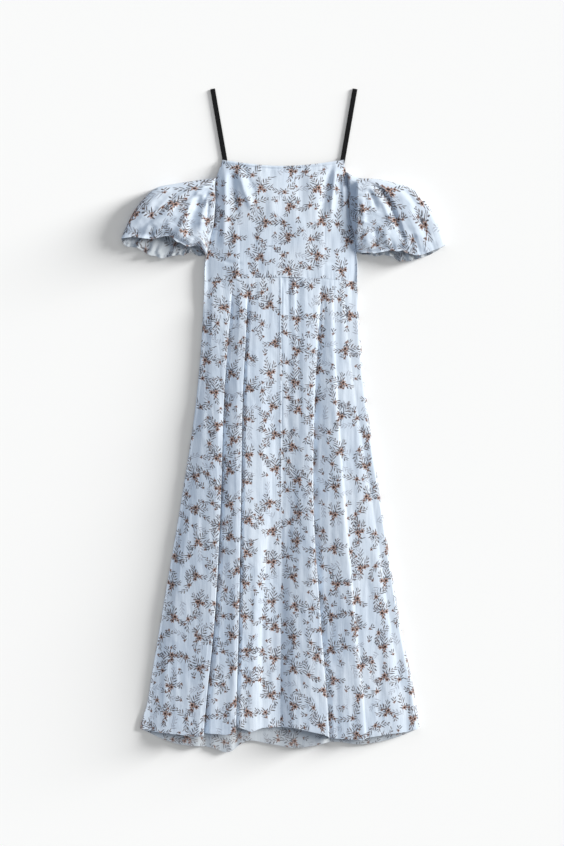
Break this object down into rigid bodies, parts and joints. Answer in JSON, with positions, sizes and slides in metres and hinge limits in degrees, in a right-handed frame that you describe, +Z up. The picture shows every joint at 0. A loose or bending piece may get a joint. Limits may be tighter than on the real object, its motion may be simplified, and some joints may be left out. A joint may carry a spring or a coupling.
{
  "type": "off-shoulder dress",
  "caption": "Off-shoulder midi dress laid flat, with puffed elbow sleeves, a darted bodice, a flared skirt and narrow shoulder straps.",
  "frame": {"origin": "on the surface that the dress lies on, under the middle of the laid dress", "axes": "+X to the viewer's right across the dress, +Y up the dress towards the straps, +Z up from the surface"},
  "size_m": [0.664, 1.3599, 0.0415],
  "materials": {
    "dress_cloth": "light plain-woven cloth, pale blue with a small scattered flower print, matt",
    "strap_band": "black woven elastic with a fine diagonal rib, slight sheen"
  },
  "bodies": {
    "root": {"bodice_front": "dress_cloth", "bodice_back": "dress_cloth", "skirt_front_left": "dress_cloth", "skirt_front_right": "dress_cloth", "skirt_back": "dress_cloth", "sleeve_left": "dress_cloth", "sleeve_right": "dress_cloth", "strap_left": "strap_band", "strap_right": "strap_band"}
  },
  "joints": []
}
